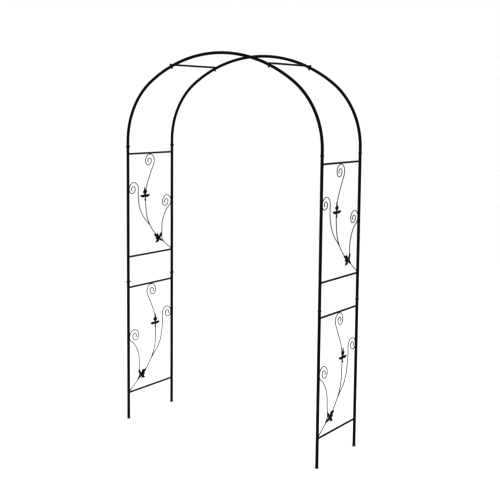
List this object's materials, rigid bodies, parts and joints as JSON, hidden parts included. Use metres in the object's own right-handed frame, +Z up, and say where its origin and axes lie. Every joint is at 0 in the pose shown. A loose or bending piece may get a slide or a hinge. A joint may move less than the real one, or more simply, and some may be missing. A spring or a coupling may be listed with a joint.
{
  "type": "garden trellis arch",
  "caption": "Free-standing garden arch of black steel tube with scroll-wire side panels that carry climbing plants over a path.",
  "frame": {"origin": "on the ground, midway between the four legs", "axes": "+Z up, +X across the path to the right as seen from the front, +Y along the path from the front, where the joint bolts' heads are, to the back"},
  "size_m": [1.3612, 0.428, 2.2001],
  "materials": {
    "powder_coat": "satin black powder coat on steel",
    "leaf_metal": "satin black powder coat on pressed steel leaves",
    "cap_plastic": "matte black moulded plastic",
    "zinc": "bright zinc plating"
  },
  "bodies": {
    "root": {"upright_lower_left_front": "powder_coat", "upright_lower_left_back": "powder_coat", "upright_lower_right_front": "powder_coat", "upright_lower_right_back": "powder_coat", "upright_upper_left_front": "powder_coat", "upright_upper_left_back": "powder_coat", "upright_upper_right_front": "powder_coat", "upright_upper_right_back": "powder_coat", "crossbar_lower_left_bottom": "powder_coat", "crossbar_lower_left_top": "powder_coat", "crossbar_lower_right_bottom": "powder_coat", "crossbar_lower_right_top": "powder_coat", "crossbar_upper_left_bottom": "powder_coat", "crossbar_upper_left_top": "powder_coat", "crossbar_upper_right_bottom": "powder_coat", "crossbar_upper_right_top": "powder_coat", "stem_lower_left": "powder_coat", "stem_lower_right": "powder_coat", "stem_upper_left": "powder_coat", "stem_upper_right": "powder_coat", "far_tendril_lower_left": "powder_coat", "far_tendril_lower_right": "powder_coat", "far_tendril_upper_left": "powder_coat", "far_tendril_upper_right": "powder_coat", "near_tendril_lower_left": "powder_coat", "near_tendril_lower_right": "powder_coat", "near_tendril_upper_left": "powder_coat", "near_tendril_upper_right": "powder_coat", "leaves_high_lower_left": "leaf_metal", "leaves_high_lower_right": "leaf_metal", "leaves_high_upper_left": "leaf_metal", "leaves_high_upper_right": "leaf_metal", "leaves_low_lower_left": "leaf_metal", "leaves_low_lower_right": "leaf_metal", "leaves_low_upper_left": "leaf_metal", "leaves_low_upper_right": "leaf_metal", "hoop_front": "powder_coat", "hoop_back": "powder_coat", "shoulder_bar_left": "powder_coat", "shoulder_bar_right": "powder_coat", "foot_cap_left_front": "cap_plastic", "foot_cap_left_back": "cap_plastic", "foot_cap_right_front": "cap_plastic", "foot_cap_right_back": "cap_plastic", "joint_bolts": "zinc", "joint_nuts": "zinc", "shoulder_bolts": "zinc", "shoulder_nuts": "zinc"}
  },
  "joints": []
}
